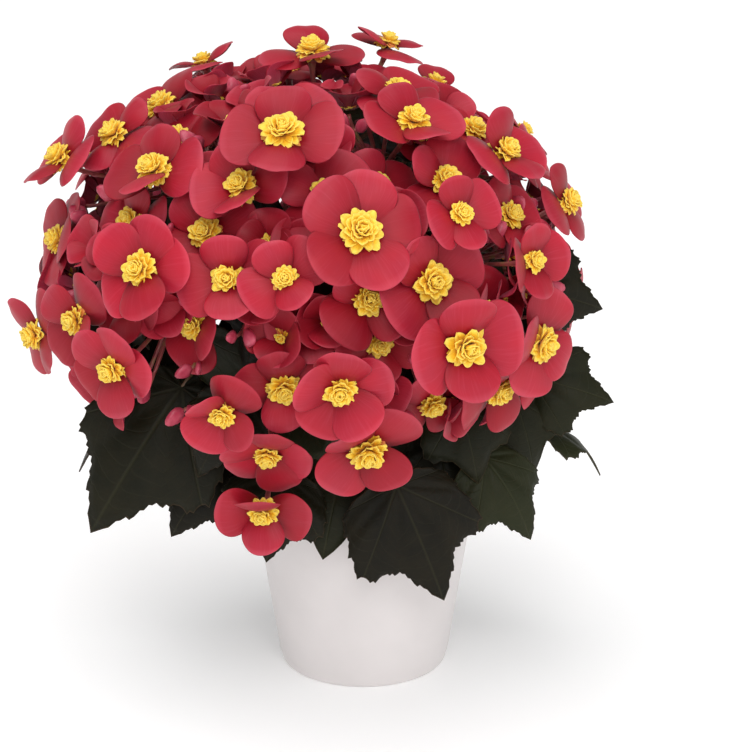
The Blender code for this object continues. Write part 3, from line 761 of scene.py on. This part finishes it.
def make_soil():
    """Peat with an uneven surface and loose crumbs, inside the pot's wall."""
    bm = started()
    rng = random.Random(SEEDS["soil"])
    bottom, edge = POT_FLOOR + GAP, pot_inside(SOIL_TOP) - GAP
    rings = [(edge * s, SOIL_TOP + SOIL_RISE * (1 - s * s)) for s in np.linspace(1, 0, 26)]
    spun(bm, [(0, bottom), (pot_inside(bottom) - GAP, bottom), *rings], 120)
    for vertex in bm.verts:
        if vertex.co.z > SOIL_TOP - MM and vertex.co.xy.length < edge - MM:
            lumps, grit = noise.noise(vertex.co * 260), noise.noise(vertex.co * 700)
            vertex.co.z += 1.6 * MM * lumps + 0.8 * MM * grit
    for _ in range(CRUMBS):
        angle, reach = rng.uniform(0, 2 * math.pi), (edge - 3 * MM) * math.sqrt(rng.uniform(0.08, 1))
        size = rng.uniform(0.6, 1.9) * MM
        place = np.array((reach * math.cos(angle), reach * math.sin(angle), SOIL_TOP + SOIL_RISE * 0.6))
        sizes = [size * rng.uniform(low, high) for low, high in ((0.7, 1.3), (0.7, 1.3), (0.5, 0.9))]
        add_ball(bm, place, WORLD_AXES, sizes, subdivisions=1)
    landed(bm, "soil_peat", [soil_material()], "soil")


def make_crown(finishes):
    """The knobbly base of the plant, half in the soil."""
    bm = started()

    def knobbly(co):
        swell = 1 + 0.05 * noise.noise(co * 3) + 0.03 * noise.noise(co * 9)
        return co * min(1.0, swell)

    centre = np.array((0, 0, CROWN_HEIGHT))
    add_ball(bm, centre, WORLD_AXES, (CROWN_RADIUS,) * 3, 0, knobbly, subdivisions=5)
    for vertex in bm.verts:
        vertex.co.z = max(SOIL_TOP - 4 * MM, vertex.co.z)
    landed(bm, "crown_flesh", finishes, "crown")


def make_stem(number, path, small_leaves, finishes):
    """A fleshy stem: swollen where leaves and trusses join it, tapering between, with its small leaves."""
    bm = started()
    rng = random.Random(SEEDS["stem"] + number)
    top, way = path[-1], unit(path[-1] - path[-2])
    points, radii = list(path[:-1]), []
    for k in range(len(points)):
        t = k / (len(path) - 1)
        knot = math.exp(-(((t - STEM_NODE_AT) / 0.035) ** 2)) + 0.5 * math.exp(-(((t - 0.27) / 0.03) ** 2))
        radii.append(STEM_RADIUS * (1 - 0.12 * t) + (STEM_NODE_RADIUS - STEM_RADIUS * 0.93) * min(1, knot))
    for angle in np.radians((-78, -60, -40, -20, 0, 20, 40, 60, 78)):
        points.append(top + way * STEM_TOP_RADIUS * math.sin(angle))
        radii.append(STEM_TOP_RADIUS * math.cos(angle))
    add_tube(bm, points, radii)
    for spec in small_leaves:
        joined = add_blade(bm, spec, SMALL_LEAF_CELLS, 0.25 * rng.random(), rng, (1, 2))
        near = 4 + int(np.argmin(np.linalg.norm(path[4:16] - spec.base, axis=1)))
        far = np.linalg.norm(joined - path[near])
        leave = unit(path[near + 1] - path[near - 1]) * far * 0.5
        stalk = bend(path[near], leave, joined, unit(spec.tip - spec.base) * far * 0.3, 10)
        add_tube(bm, stalk, [0.75 * PETIOLE_RADIUS] * 10, 3)
    landed(bm, f"stem_{number}_flesh", finishes, f"stem_{number}")


# ---- the flowers ----


def head_axes(b, face):
    """A flower's own sideways, upward and forward directions."""
    side, up = axes_of(face)
    roll = math.radians(b.roll)
    across = math.cos(roll) * side + math.sin(roll) * up
    return across, np.cross(face, across), face


def add_tepal(bm, radius, place, axes, angle, shape, rng):
    """One broad tepal: round and pillowed, in the flower's cup. shape is its length and half width as
    shares of the flower's radius, the height it lies at, how far its sides curl forward and, in
    degrees, how far it stands forward of the cup."""
    length, width, height, spoon, hinge = shape
    along = math.cos(angle) * axes[0] + math.sin(angle) * axes[1]
    aside = math.sin(angle) * axes[0] - math.cos(angle) * axes[1]
    lean, wave, phase = rng.uniform(-0.07, 0.07), rng.uniform(0.006, 0.022), rng.uniform(0, 6.3)
    recurve, bump, twist = rng.uniform(0.06, 0.26), rng.uniform(0, 6.3), rng.uniform(-0.10, 0.10)
    belly = rng.uniform(0.03, 0.11)
    turn_cos, turn_sin = math.cos(math.radians(hinge)), math.sin(math.radians(hinge))

    def point(u, v):
        x, y = rounded(u, v)
        t = 0.5 + 0.5 * y
        edge = 1 + 0.018 * math.sin(3 * math.atan2(y, x) + bump) * (x * x + y * y)
        out = radius * (0.03 + (length - 0.03) * t * edge)
        sideways = radius * width * x * edge * (0.74 + 0.26 * eased(1.3 * t)) + lean * radius * t * t
        far = math.hypot(out, sideways)
        forward = CUP * far * far / radius
        forward += radius * (spoon * x * x * (0.3 + 0.7 * t) - recurve * t**3 + twist * x * t)
        forward += radius * belly * math.sin(math.pi * t) * (1 - x * x)
        forward += radius * wave * math.sin(2.6 * x * math.pi + phase) * t * t
        ahead = out * turn_cos - forward * turn_sin
        raised = out * turn_sin + forward * turn_cos + height
        return place + along * ahead + aside * sideways + axes[2] * raised

    add_sheet(bm, TEPAL_CELLS, point, rng.random() ** 1.6)


def turned_away(face):
    """How far a flower that faces this way is turned from the show side, from 0 to 1."""
    return 1 - eased((float(face @ SHOW_SIDE) - 0.1) / 0.6)


def nodding(face):
    """Flowers round the rim of the show side turn a little towards it, for the light."""
    rim = turned_away(face) * eased(1 + 2.5 * float(face @ SHOW_SIDE))
    return unit(face + 0.28 * rim * SHOW_SIDE)


def add_tepals(bm, b, place, axes, rng):
    """A ring of overlapping tepals: the broad pair behind, the narrower ones in front. Flowers turned
    away from the show side are a little smaller."""
    count = b.tepals
    away = turned_away(axes[2])
    size, closing = 1 - 0.25 * away, max(0.0, rng.gauss(0, 8)) * (1 - away) - 2 * away
    for k in range(count):
        angle = 2 * math.pi * k / count + rng.uniform(-0.12, 0.12)
        spoon = rng.uniform(-0.22, -0.02)
        if count == 4:
            front = k % 2
            hinge = rng.uniform(-8, 14) + front * rng.uniform(6, 26)
            length, width, height = 1.06 - 0.12 * front, 0.66 - 0.15 * front, 1.5 * front - 0.8
        else:
            front = (k * 2) % 5
            hinge = rng.uniform(-6, 10) + front * 3
            length, width, height, spoon = 1.03, 0.56, 0.7 * front - 1.0, 0.5 * spoon
        shape = (size * length, size * width, height * MM, spoon, hinge + closing)
        add_tepal(bm, b.radius, place, axes, angle, shape, rng)


def add_young_flower(bm, hearts, radius, place, axes, rng):
    """A half-open flower: two broad tepals like a clam, with the inner pair between them."""
    first = rng.uniform(0, 6.3)
    for k in range(4):
        front = k % 2
        hinge = rng.uniform(12, 44) + 8 * front
        shape = (1.0 - 0.1 * front, 0.64 - 0.10 * front, 0.6 * MM * front, 0.20, hinge)
        add_tepal(bm, radius, place, axes, first + 0.5 * math.pi * k, shape, rng)
    add_heart(hearts, 0.30 * radius, place, axes, rng, WHORLS[1::2])


def add_petaloid(bm, base, out_way, face, shape, rng, tone):
    """One small round spoon of a flower's heart, which curls in."""
    lean, length, width, curl = shape
    tilt = math.radians(lean)
    along = math.sin(tilt) * out_way + math.cos(tilt) * face
    inward = math.sin(tilt) * face - math.cos(tilt) * out_way
    aside = np.cross(face, out_way)
    tilted, phase = rng.uniform(-0.25, 0.25), rng.uniform(0, 6.3)

    def point(u, v):
        x, y = rounded(u, v)
        t = 0.5 + 0.5 * y
        half = 0.5 * width * x * (0.45 + 0.55 * eased(1.5 * t))
        reach = length * t
        hollow = 0.5 * width * (x * x * (0.2 + 0.5 * t) + tilted * x * t)
        ruffle = 0.04 * length * math.sin(2.6 * math.pi * x + phase) * t**2
        lift = curl * length * t * t + hollow + ruffle
        return base + along * reach + aside * half + inward * lift

    add_sheet(bm, PETALOID_CELLS, point, tone)


def add_heart(bm, radius, place, axes, rng, whorls=WHORLS):
    """The double centre: whorls of petaloids, the outermost blushed orange, round a tight middle."""
    across, up, face = axes
    for whorl, (count, lean, long, wide, curl, rise) in enumerate(whorls):
        first = rng.uniform(0, 6.3)
        for k in range(count):
            angle = first + 2 * math.pi * k / count + rng.uniform(-0.16, 0.16)
            way = math.cos(angle) * across + math.sin(angle) * up
            length = radius * long * rng.uniform(0.86, 1.08)
            shape = (lean + rng.uniform(-8, 8), length, radius * wide * rng.uniform(0.85, 1.12), curl)
            blush = rng.random() < (0.18 if whorl == 0 else 0.0)
            tone = rng.uniform(0.8, 1.0) if blush else rng.uniform(0.0, 0.5)
            base = place + face * rise * (radius / (HEART_RADIUS * MIDDLING)) + way * 0.06 * radius
            add_petaloid(bm, base, way, face, shape, rng, tone)


def add_bract(bm, base, way, face, length, slot, rng):
    """A small pointed scale at the foot of a flower stalk."""
    aside = unit(np.cross(way, face))

    def point(u, v):
        x, y = rounded(u, v)
        t = 0.5 + 0.5 * y
        half = 0.34 * length * (1 - 0.45 * t)
        lift = 0.18 * length * (x * x - t * (1 - t) * 2)
        return base + way * length * t + aside * half * x + face * lift

    add_sheet(bm, (4, 5), point, rng.random(), slot)


def add_bud(bm, base, way, face, size, slot):
    """A flattened heart-shaped bud."""
    aside = unit(np.cross(way, face))
    axes = (aside, way, unit(np.cross(aside, way)))

    def pressed(co):
        broad = 1 - 0.32 * eased(0.5 + 0.5 * co.y) + 0.12 * math.exp(-((co.y + 0.55) ** 2) * 6)
        return co.x * broad, co.y - 0.18 * math.exp(-(co.x * co.x) * 9) * (co.y < -0.5), co.z * 0.9

    add_ball(bm, base + way * size, axes, (0.86 * size, size, 0.42 * size), slot, pressed)


def gap_places(places):
    """Where the open flowers leave gaps in the dome, widest first: (place, outward) for each."""
    spots = []
    for elevation in range(-24, 89, 5):
        step = 5 / max(0.12, math.cos(math.radians(elevation)))
        spots += [on_dome(k * step, elevation) for k in range(round(360 / step))]
    where = np.array([spot[0] for spot in spots])
    room = np.linalg.norm(where[:, None] - places[None], axis=2).min(1)
    found = []
    while room.max() > GAP_SPACING:
        widest = int(np.argmax(room))
        found.append(spots[widest])
        room = np.minimum(room, np.linalg.norm(where - where[widest], axis=1))
    return found


def fill_gap(tepals, hearts, stalks, fork, outward, spot, normal, rng):
    """A young flower, or two buds on one stalk, from a truss's fork out to a gap between its flowers."""
    place = DOME_CENTRE + GAP_DEPTH * (spot - DOME_CENTRE)
    side, up = axes_of(normal)
    far = np.linalg.norm(place - fork)
    leave = unit(place - fork + outward * 0.3 * far) * far * 0.35
    face = unit(normal + side * rng.uniform(-0.35, 0.35) + up * rng.uniform(-0.2, 0.35))
    if rng.random() < 0.72:
        path = bend(fork, leave, place - face * 2 * MM, face * FLOWER_PULL * 0.6, 12)
        add_tube(stalks, path, [PEDICEL_RADIUS * 0.9] * 12)
        axes = (*axes_of(face), face)
        add_young_flower(tepals, hearts, rng.uniform(19, 25) * MM, place, axes, rng)
        return
    for lean in (-0.5, 0.6):
        way = unit(face + side * lean + up * rng.uniform(-0.3, 0.3))
        end = place + way * 5 * MM
        path = bend(fork, leave, end, way * FLOWER_PULL * 0.5, 12)
        add_tube(stalks, path, [PEDICEL_RADIUS * 0.8] * 12)
        add_bud(stalks, end, way, side, rng.uniform(4.5, 7.5) * MM, 2)


def make_truss(number, blooms, places, faces, tops, gaps, finishes):
    """Three flowers as three pieces: tepals, hearts, and the stalks with their bracts and buds."""
    rng = random.Random(SEEDS["truss"] + number)
    name, node = f"truss_{number:02d}", f"flower_truss_{number:02d}"
    tepals, hearts, stalks = started(), started(), started()
    fork = DOME_CENTRE + TRUSS_REACH * (places.mean(0) - DOME_CENTRE)
    top = tops[np.argmin(np.linalg.norm(tops - fork, axis=1))]
    way, outward = unit(fork - top), unit(places.mean(0) - fork)
    pull = np.linalg.norm(fork - top) * 0.3
    start = top + way * (STEM_TOP_RADIUS + GAP)
    stalk = grown(start, way, pull, fork - outward * TRUSS_NODE_RADIUS, outward * pull, 14)
    knot = [fork + outward * TRUSS_NODE_RADIUS * s for s in (-0.5, 0.0, 0.5, 1.0)]
    radii = [PEDUNCLE_RADIUS] * 14 + [TRUSS_NODE_RADIUS * s for s in (0.85, 1.0, 0.85, 0.5)]
    add_tube(stalks, [*stalk, *knot], radii)
    for b, place, face in zip(blooms, places, map(nodding, faces)):
        back = place - face * HEAD_DEPTH
        far = np.linalg.norm(back - fork)
        leave = unit(place - fork + outward * 0.3 * far) * far * 0.35
        path = bend(fork, leave, back, face * FLOWER_PULL, 16)
        swell = PEDICEL_RADIUS * (1 + 1.1 * np.linspace(0, 1, 16) ** 10)
        add_tube(stalks, [*path, place - face * 0.8 * MM], [*swell, 3.6 * MM])
        axes = head_axes(b, face)
        add_tepals(tepals, b, place, axes, rng)
        fullness = (b.radius / MIDDLING) ** HEART_GROWTH * (1 - 0.35 * turned_away(face))
        add_heart(hearts, HEART_RADIUS * b.radius * fullness, place, axes, rng)
    for place, face in gaps:
        fill_gap(tepals, hearts, stalks, fork, outward, place, face, rng)
    side, up = axes_of(outward)
    for turn in (rng.uniform(0, 3), rng.uniform(3.2, 5.4)):
        way = unit(outward * 0.6 + math.cos(turn) * side + math.sin(turn) * up)
        add_bract(stalks, fork + way * 2 * MM, way, outward, rng.uniform(7, 10) * MM, 1, rng)
    petals = landed(tepals, name + "_tepals", finishes["petals"], node)
    thickened(petals, TEPAL_SHEET, backs=1, smoothing=1)
    heart = landed(hearts, name + "_hearts", finishes["hearts"], node)
    thickened(heart, PETALOID_SHEET)
    landed(stalks, name + "_stalks", finishes["stalks"], node)


# ---- the leaves ----


def leaf_outline(angle, length, width, lean):
    """How far a leaf's edge is from where its veins meet, without its teeth: an ovate blade with a
    pointed tip and a notch at the stalk. angle is from the midrib; lean makes one side wider."""
    half = 0.5 * width * (1 + lean * math.sin(angle))
    along, ahead = 0.42 * length, 0.33 * length
    c, s = math.cos(angle) / along, math.sin(angle) / half
    b = math.cos(angle) * ahead / along**2
    square = c * c + s * s
    reach = (b + math.sqrt(max(0.0, b * b - square * ((ahead / along) ** 2 - 1)))) / square
    drawn_in = 0.05 * math.exp(-(((abs(angle) - 0.42) / 0.2) ** 2))
    point = 1 + 0.14 * math.exp(-((angle / 0.15) ** 2)) - drawn_in
    back = 1 + 0.45 * math.exp(-(((math.pi - abs(angle)) / 0.75) ** 2))
    return reach * point * back


def tooth(x):
    """A saw tooth from 0 to 1, steep towards the leaf's tip, with its first point at 0."""
    x = (x + 0.25) % 1.0
    return x / 0.25 if x < 0.25 else (1 - x) / 0.75


def add_blade(bm, spec, cells, tone, rng, slots, lean=None):
    """A leaf's blade: veins fan from the top of its stalk, its edge is lobed and twice toothed, and it
    is quilted between the veins and waves along its edge. Returns the place of its stalk's top."""
    length, along, side, face = blade_axes(spec)
    drawn, wave = rng.choice((-1, 1)) * rng.uniform(0.06, 0.12), rng.uniform(1.4, 2.8) * MM
    lean = drawn if lean is None else lean
    phase, skew = rng.uniform(0, 6.3), rng.uniform(-0.015, 0.015)
    centre = 0.14 * length
    fine = 0.034 if cells[0] > 200 else 0.0

    def height(x, y):
        t, a = y / length, x / (0.5 * spec.width)
        return spec.arch * (4 * t * (1 - t) - 0.8 * min(1.6, a * a))

    def point(u, v):
        angle, q = LEAF_SPREAD * u, (0.5 + 0.5 * v) ** 0.8
        lobe = math.cos(angle * LEAF_VEINS * math.pi / LEAF_SPREAD)
        size = 1 + (0.055 + skew) * lobe * q**3
        saw = 0.060 * tooth(abs(u) * 15) + fine * tooth(abs(u) * 45)
        size += (saw - 0.05) * q**11 * min(1.0, (1 - abs(u)) * 12)
        reach = leaf_outline(angle, length, spec.width, lean) * q * size
        x, y = reach * math.sin(angle), centre + reach * math.cos(angle)
        rise = height(x, y) + wave * math.sin(7 * angle + phase) * q**4
        across = (0.5 + 0.5 * u) * LEAF_VEINS % 1.0 - 0.5
        rise -= 0.9 * MM * math.exp(-((across * q / 0.09) ** 2)) * min(1, q * 3) * (1 - q**6)
        return spec.base + side * x + along * y + face * rise

    sheet = add_sheet(bm, cells, point, tone, slots[0])
    bmesh.ops.remove_doubles(bm, verts=sheet, dist=WELD)
    faces = {face for vertex in sheet if vertex.is_valid for face in vertex.link_faces}
    made = bmesh.ops.solidify(bm, geom=list(faces), thickness=LEAF_SHEET)["geom"]
    painted((item for item in made if isinstance(item, bmesh.types.BMFace)), slots[1])
    return spec.base + along * centre + face * (height(0, centre) - PETIOLE_DROP)


def make_leaf(number, spec, start, way, finishes):
    """A leaf on its stalk."""
    bm = started()
    rng = random.Random(SEEDS["leaf"] + number)
    tone = LEAF_TONES.get(number, 0.1 * rng.random())
    joined = add_blade(bm, spec, LEAF_CELLS, tone, rng, (0, 1), LEANS.get(number))
    end = midrib_point(spec, 0.06) - blade_axes(spec)[3] * PETIOLE_DROP
    arrive = unit(midrib_point(spec, 0.12) - midrib_point(spec, 0.06))
    reach = np.linalg.norm(end - start)
    path = grown(start, way, reach * 0.4, end, unit(arrive + way * 0.6) * reach * 0.25, 20)
    radii = PETIOLE_RADIUS * np.linspace(1.05, 0.85, 20)
    add_tube(bm, [*path, joined], [*radii, 0.7 * PETIOLE_RADIUS], 2)
    landed(bm, f"leaf_{number:02d}_blade", finishes["leaf"], f"leaf_{number:02d}")


def inner_leaves(paths):
    """Small leaves inside the dome, for each stem: its own share of an even spread, on the side of the
    dome that the stem is nearest to."""
    shares = [[] for _ in paths]
    rng = random.Random(SEEDS["inner leaves"])
    for k in range(INNER_LEAVES):
        elevation = math.degrees(math.asin(-0.55 + 1.42 * (k + 0.5) / INNER_LEAVES))
        middle, outward = on_dome(GOLDEN_ANGLE * k, elevation, rng.uniform(0.64, 0.76))
        side, up = axes_of(outward)
        down = unit(-up + side * rng.uniform(-0.8, 0.8))
        size = rng.uniform(48, 60) * MM
        facing = unit(outward + up * rng.uniform(0.0, 0.4))
        spec = Leaf(0, middle - down * size * 0.5, middle + down * size * 0.5, facing, size * 0.9, 5 * MM)
        near = [np.linalg.norm(path[8:] - spec.base, axis=1).min() for path in paths]
        shares[int(np.argmin(near))].append(spec)
    for spec in LOW_LEAVES:
        shares[spec.stem - 1].append(spec)
    return shares


# ---- everything in its place ----


def make_finishes():
    """The plant's materials, in the order of the slots that its pieces use."""
    skin = [(0.3, "5A3A2A"), (0.55, "7A4A38"), (0.75, "5E6A34")]
    stalk = [(0.3, "8C3A3E"), (0.55, "A85450"), (0.75, "8A7A44")]
    bract = [(0.3, "6E5A34"), (0.55, "8C6A44"), (0.75, "A4584C")]
    bud = [(0.3, "A5203C"), (0.6, "C84A62"), (0.8, "D87C88")]
    petiole = [(0.3, "4A3A24"), (0.55, "6A4630"), (0.75, "58602E")]
    return {
        "petals": [
            petal_material(
                "tepal_face",
                # darker towards the base: partly the tepal's own pigment and partly painted shade under the
                # heart and the overlapping tepals
                [(0.0, "640614"), (0.22, "8C1022"), (0.5, "A41C30"), (0.85, "AE263A"), (1.0, "C04254")],
                "D4607A",
                0.10,
                ("E8788C", "B85468"),
            ),
            petal_material(
                "tepal_back",
                [(0.0, "A88068"), (0.16, "B4586A"), (0.55, "BE4660"), (1.0, "BA3450")],
                "DE96A4",
                0.16,
                ("E8A0AC", "CC8C98"),
            ),
        ],
        "hearts": [heart_material()],
        "stalks": [
            fleshy_material("flower_stalk", *stalk, 0.4, STALK_MOTTLES),
            fleshy_material("bract", *bract, 0.5, STALK_MOTTLES),
            fleshy_material("bud_skin", *bud, 0.4, BUD_MOTTLES),
        ],
        "leaf": [
            leaf_material("leaf_face", "0E0B04", "1A1509", "2A2818", "443222", 0.48, -0.9),
            leaf_material("leaf_underside", "22221A", "343626", "4A4836", "4A362A", 0.6, 1.2),
            fleshy_material("leaf_stalk", *petiole, 0.45, SKIN_MOTTLES),
        ],
        "stem": [fleshy_material("stem_skin", *skin, 0.42, SKIN_MOTTLES)],
    }


def make_plant():
    """The pot and the plant in it, from the soil up."""
    finishes = make_finishes()
    make_pot()
    make_soil()
    make_crown(finishes["stem"])
    paths = stem_paths()
    for number, (path, small) in enumerate(zip(paths, inner_leaves(paths)), 1):
        make_stem(number, path, small, finishes["stem"] + finishes["leaf"])
    tops = np.array([path[-1] for path in paths])
    trusses = [[bloom(*b) for b in truss] for truss in SHOW_TRUSSES] + far_trusses()
    blooms = [b for group in trusses for b in group]
    places, faces = settle(blooms)
    middles = places.reshape(-1, 3, 3).mean(1)
    gaps = [[] for _ in trusses]
    for spot, normal in gap_places(places):
        gaps[np.argmin(np.linalg.norm(middles - spot, axis=1))].append((spot, normal))
    for k, group in enumerate(trusses):
        part = slice(3 * k, 3 * k + 3)
        make_truss(k + 1, group, places[part], faces[part], tops, gaps[k], finishes)
    low = [spec for spec in LEAVES if spec.stem == 0]
    azimuths = dict(zip(map(id, low), spread_round([spec.base for spec in low], first=-170)))
    for number, spec in enumerate(LEAVES, 1):
        if spec.stem:
            start, way = on_stem(paths[spec.stem - 1], spec.base)
        else:
            start, way = on_crown(azimuths[id(spec)], PETIOLE_START_ELEVATION)
        make_leaf(number, spec, start, way, finishes)


def make_stage():
    """A plain pale floor."""
    bm = bmesh.new()
    bmesh.ops.create_circle(bm, cap_ends=True, segments=96, radius=7.0)
    glow = {"Emission_Color": "FFFFFF", "Emission_Strength": 0.23}
    paper, _, _ = surface("pale_floor", Base_Color="F4F4F4", Roughness=0.95, Specular_IOR_Level=0.1, **glow)
    meshed(bm, "floor", [paper])


def add_light(name, kind, place, turn, **settings):
    """A light, with its settings by name."""
    light = bpy.data.lights.new(name, kind)
    for key, value in settings.items():
        setattr(light, key, value)
    placed(name, light, place, turn)


def make_light():
    """A pale studio, brighter below, with two soft lights in front and a broad one overhead."""
    scene = bpy.context.scene
    scene.world = bpy.data.worlds.new("studio")
    scene.world.use_nodes = True
    tree = scene.world.node_tree
    height = add(tree, "SeparateXYZ", add(tree, "TexCoord", out="Generated"), out="Z")
    glow = add(tree, "ValToRGB", height, stops=[(0.14, "FFFFFF"), (0.3, "969696")])
    tree.links.new(glow, tree.nodes["Background"].inputs[0])
    middle = Vector((-0.03, 0.0, 0.22))
    softboxes = (("key", (0.12, -1.5, 1.2), 0.8, 10.0), ("fill", (1.3, -0.9, 0.8), 1.2, 3.2))
    for name, place, size, power in softboxes:
        turn = (middle - Vector(place)).to_track_quat("-Z", "Y").to_euler()
        add_light(name, "AREA", place, turn, size=size, energy=power)
    tilt = (math.radians(8), math.radians(-9), 0.0)
    add_light("overhead", "SUN", (0, 0, 0), tilt, energy=1.8, angle=math.radians(60))
    scene.view_settings.view_transform = "Standard"
    scene.view_settings.look = "None"


def make_camera():
    """Above the plant, looking slightly down at it from the show side."""
    lens = bpy.data.cameras.new("camera")
    lens.lens = 130.0
    lens.sensor_width = 36.0
    turn = (math.radians(90 - 17.83), 0.0, 0.0)
    bpy.context.scene.camera = placed("camera", lens, (0.0072, -1.5, 0.6585), turn)


make_plant()
make_stage()
make_light()
make_camera()
bpy.context.view_layer.update()
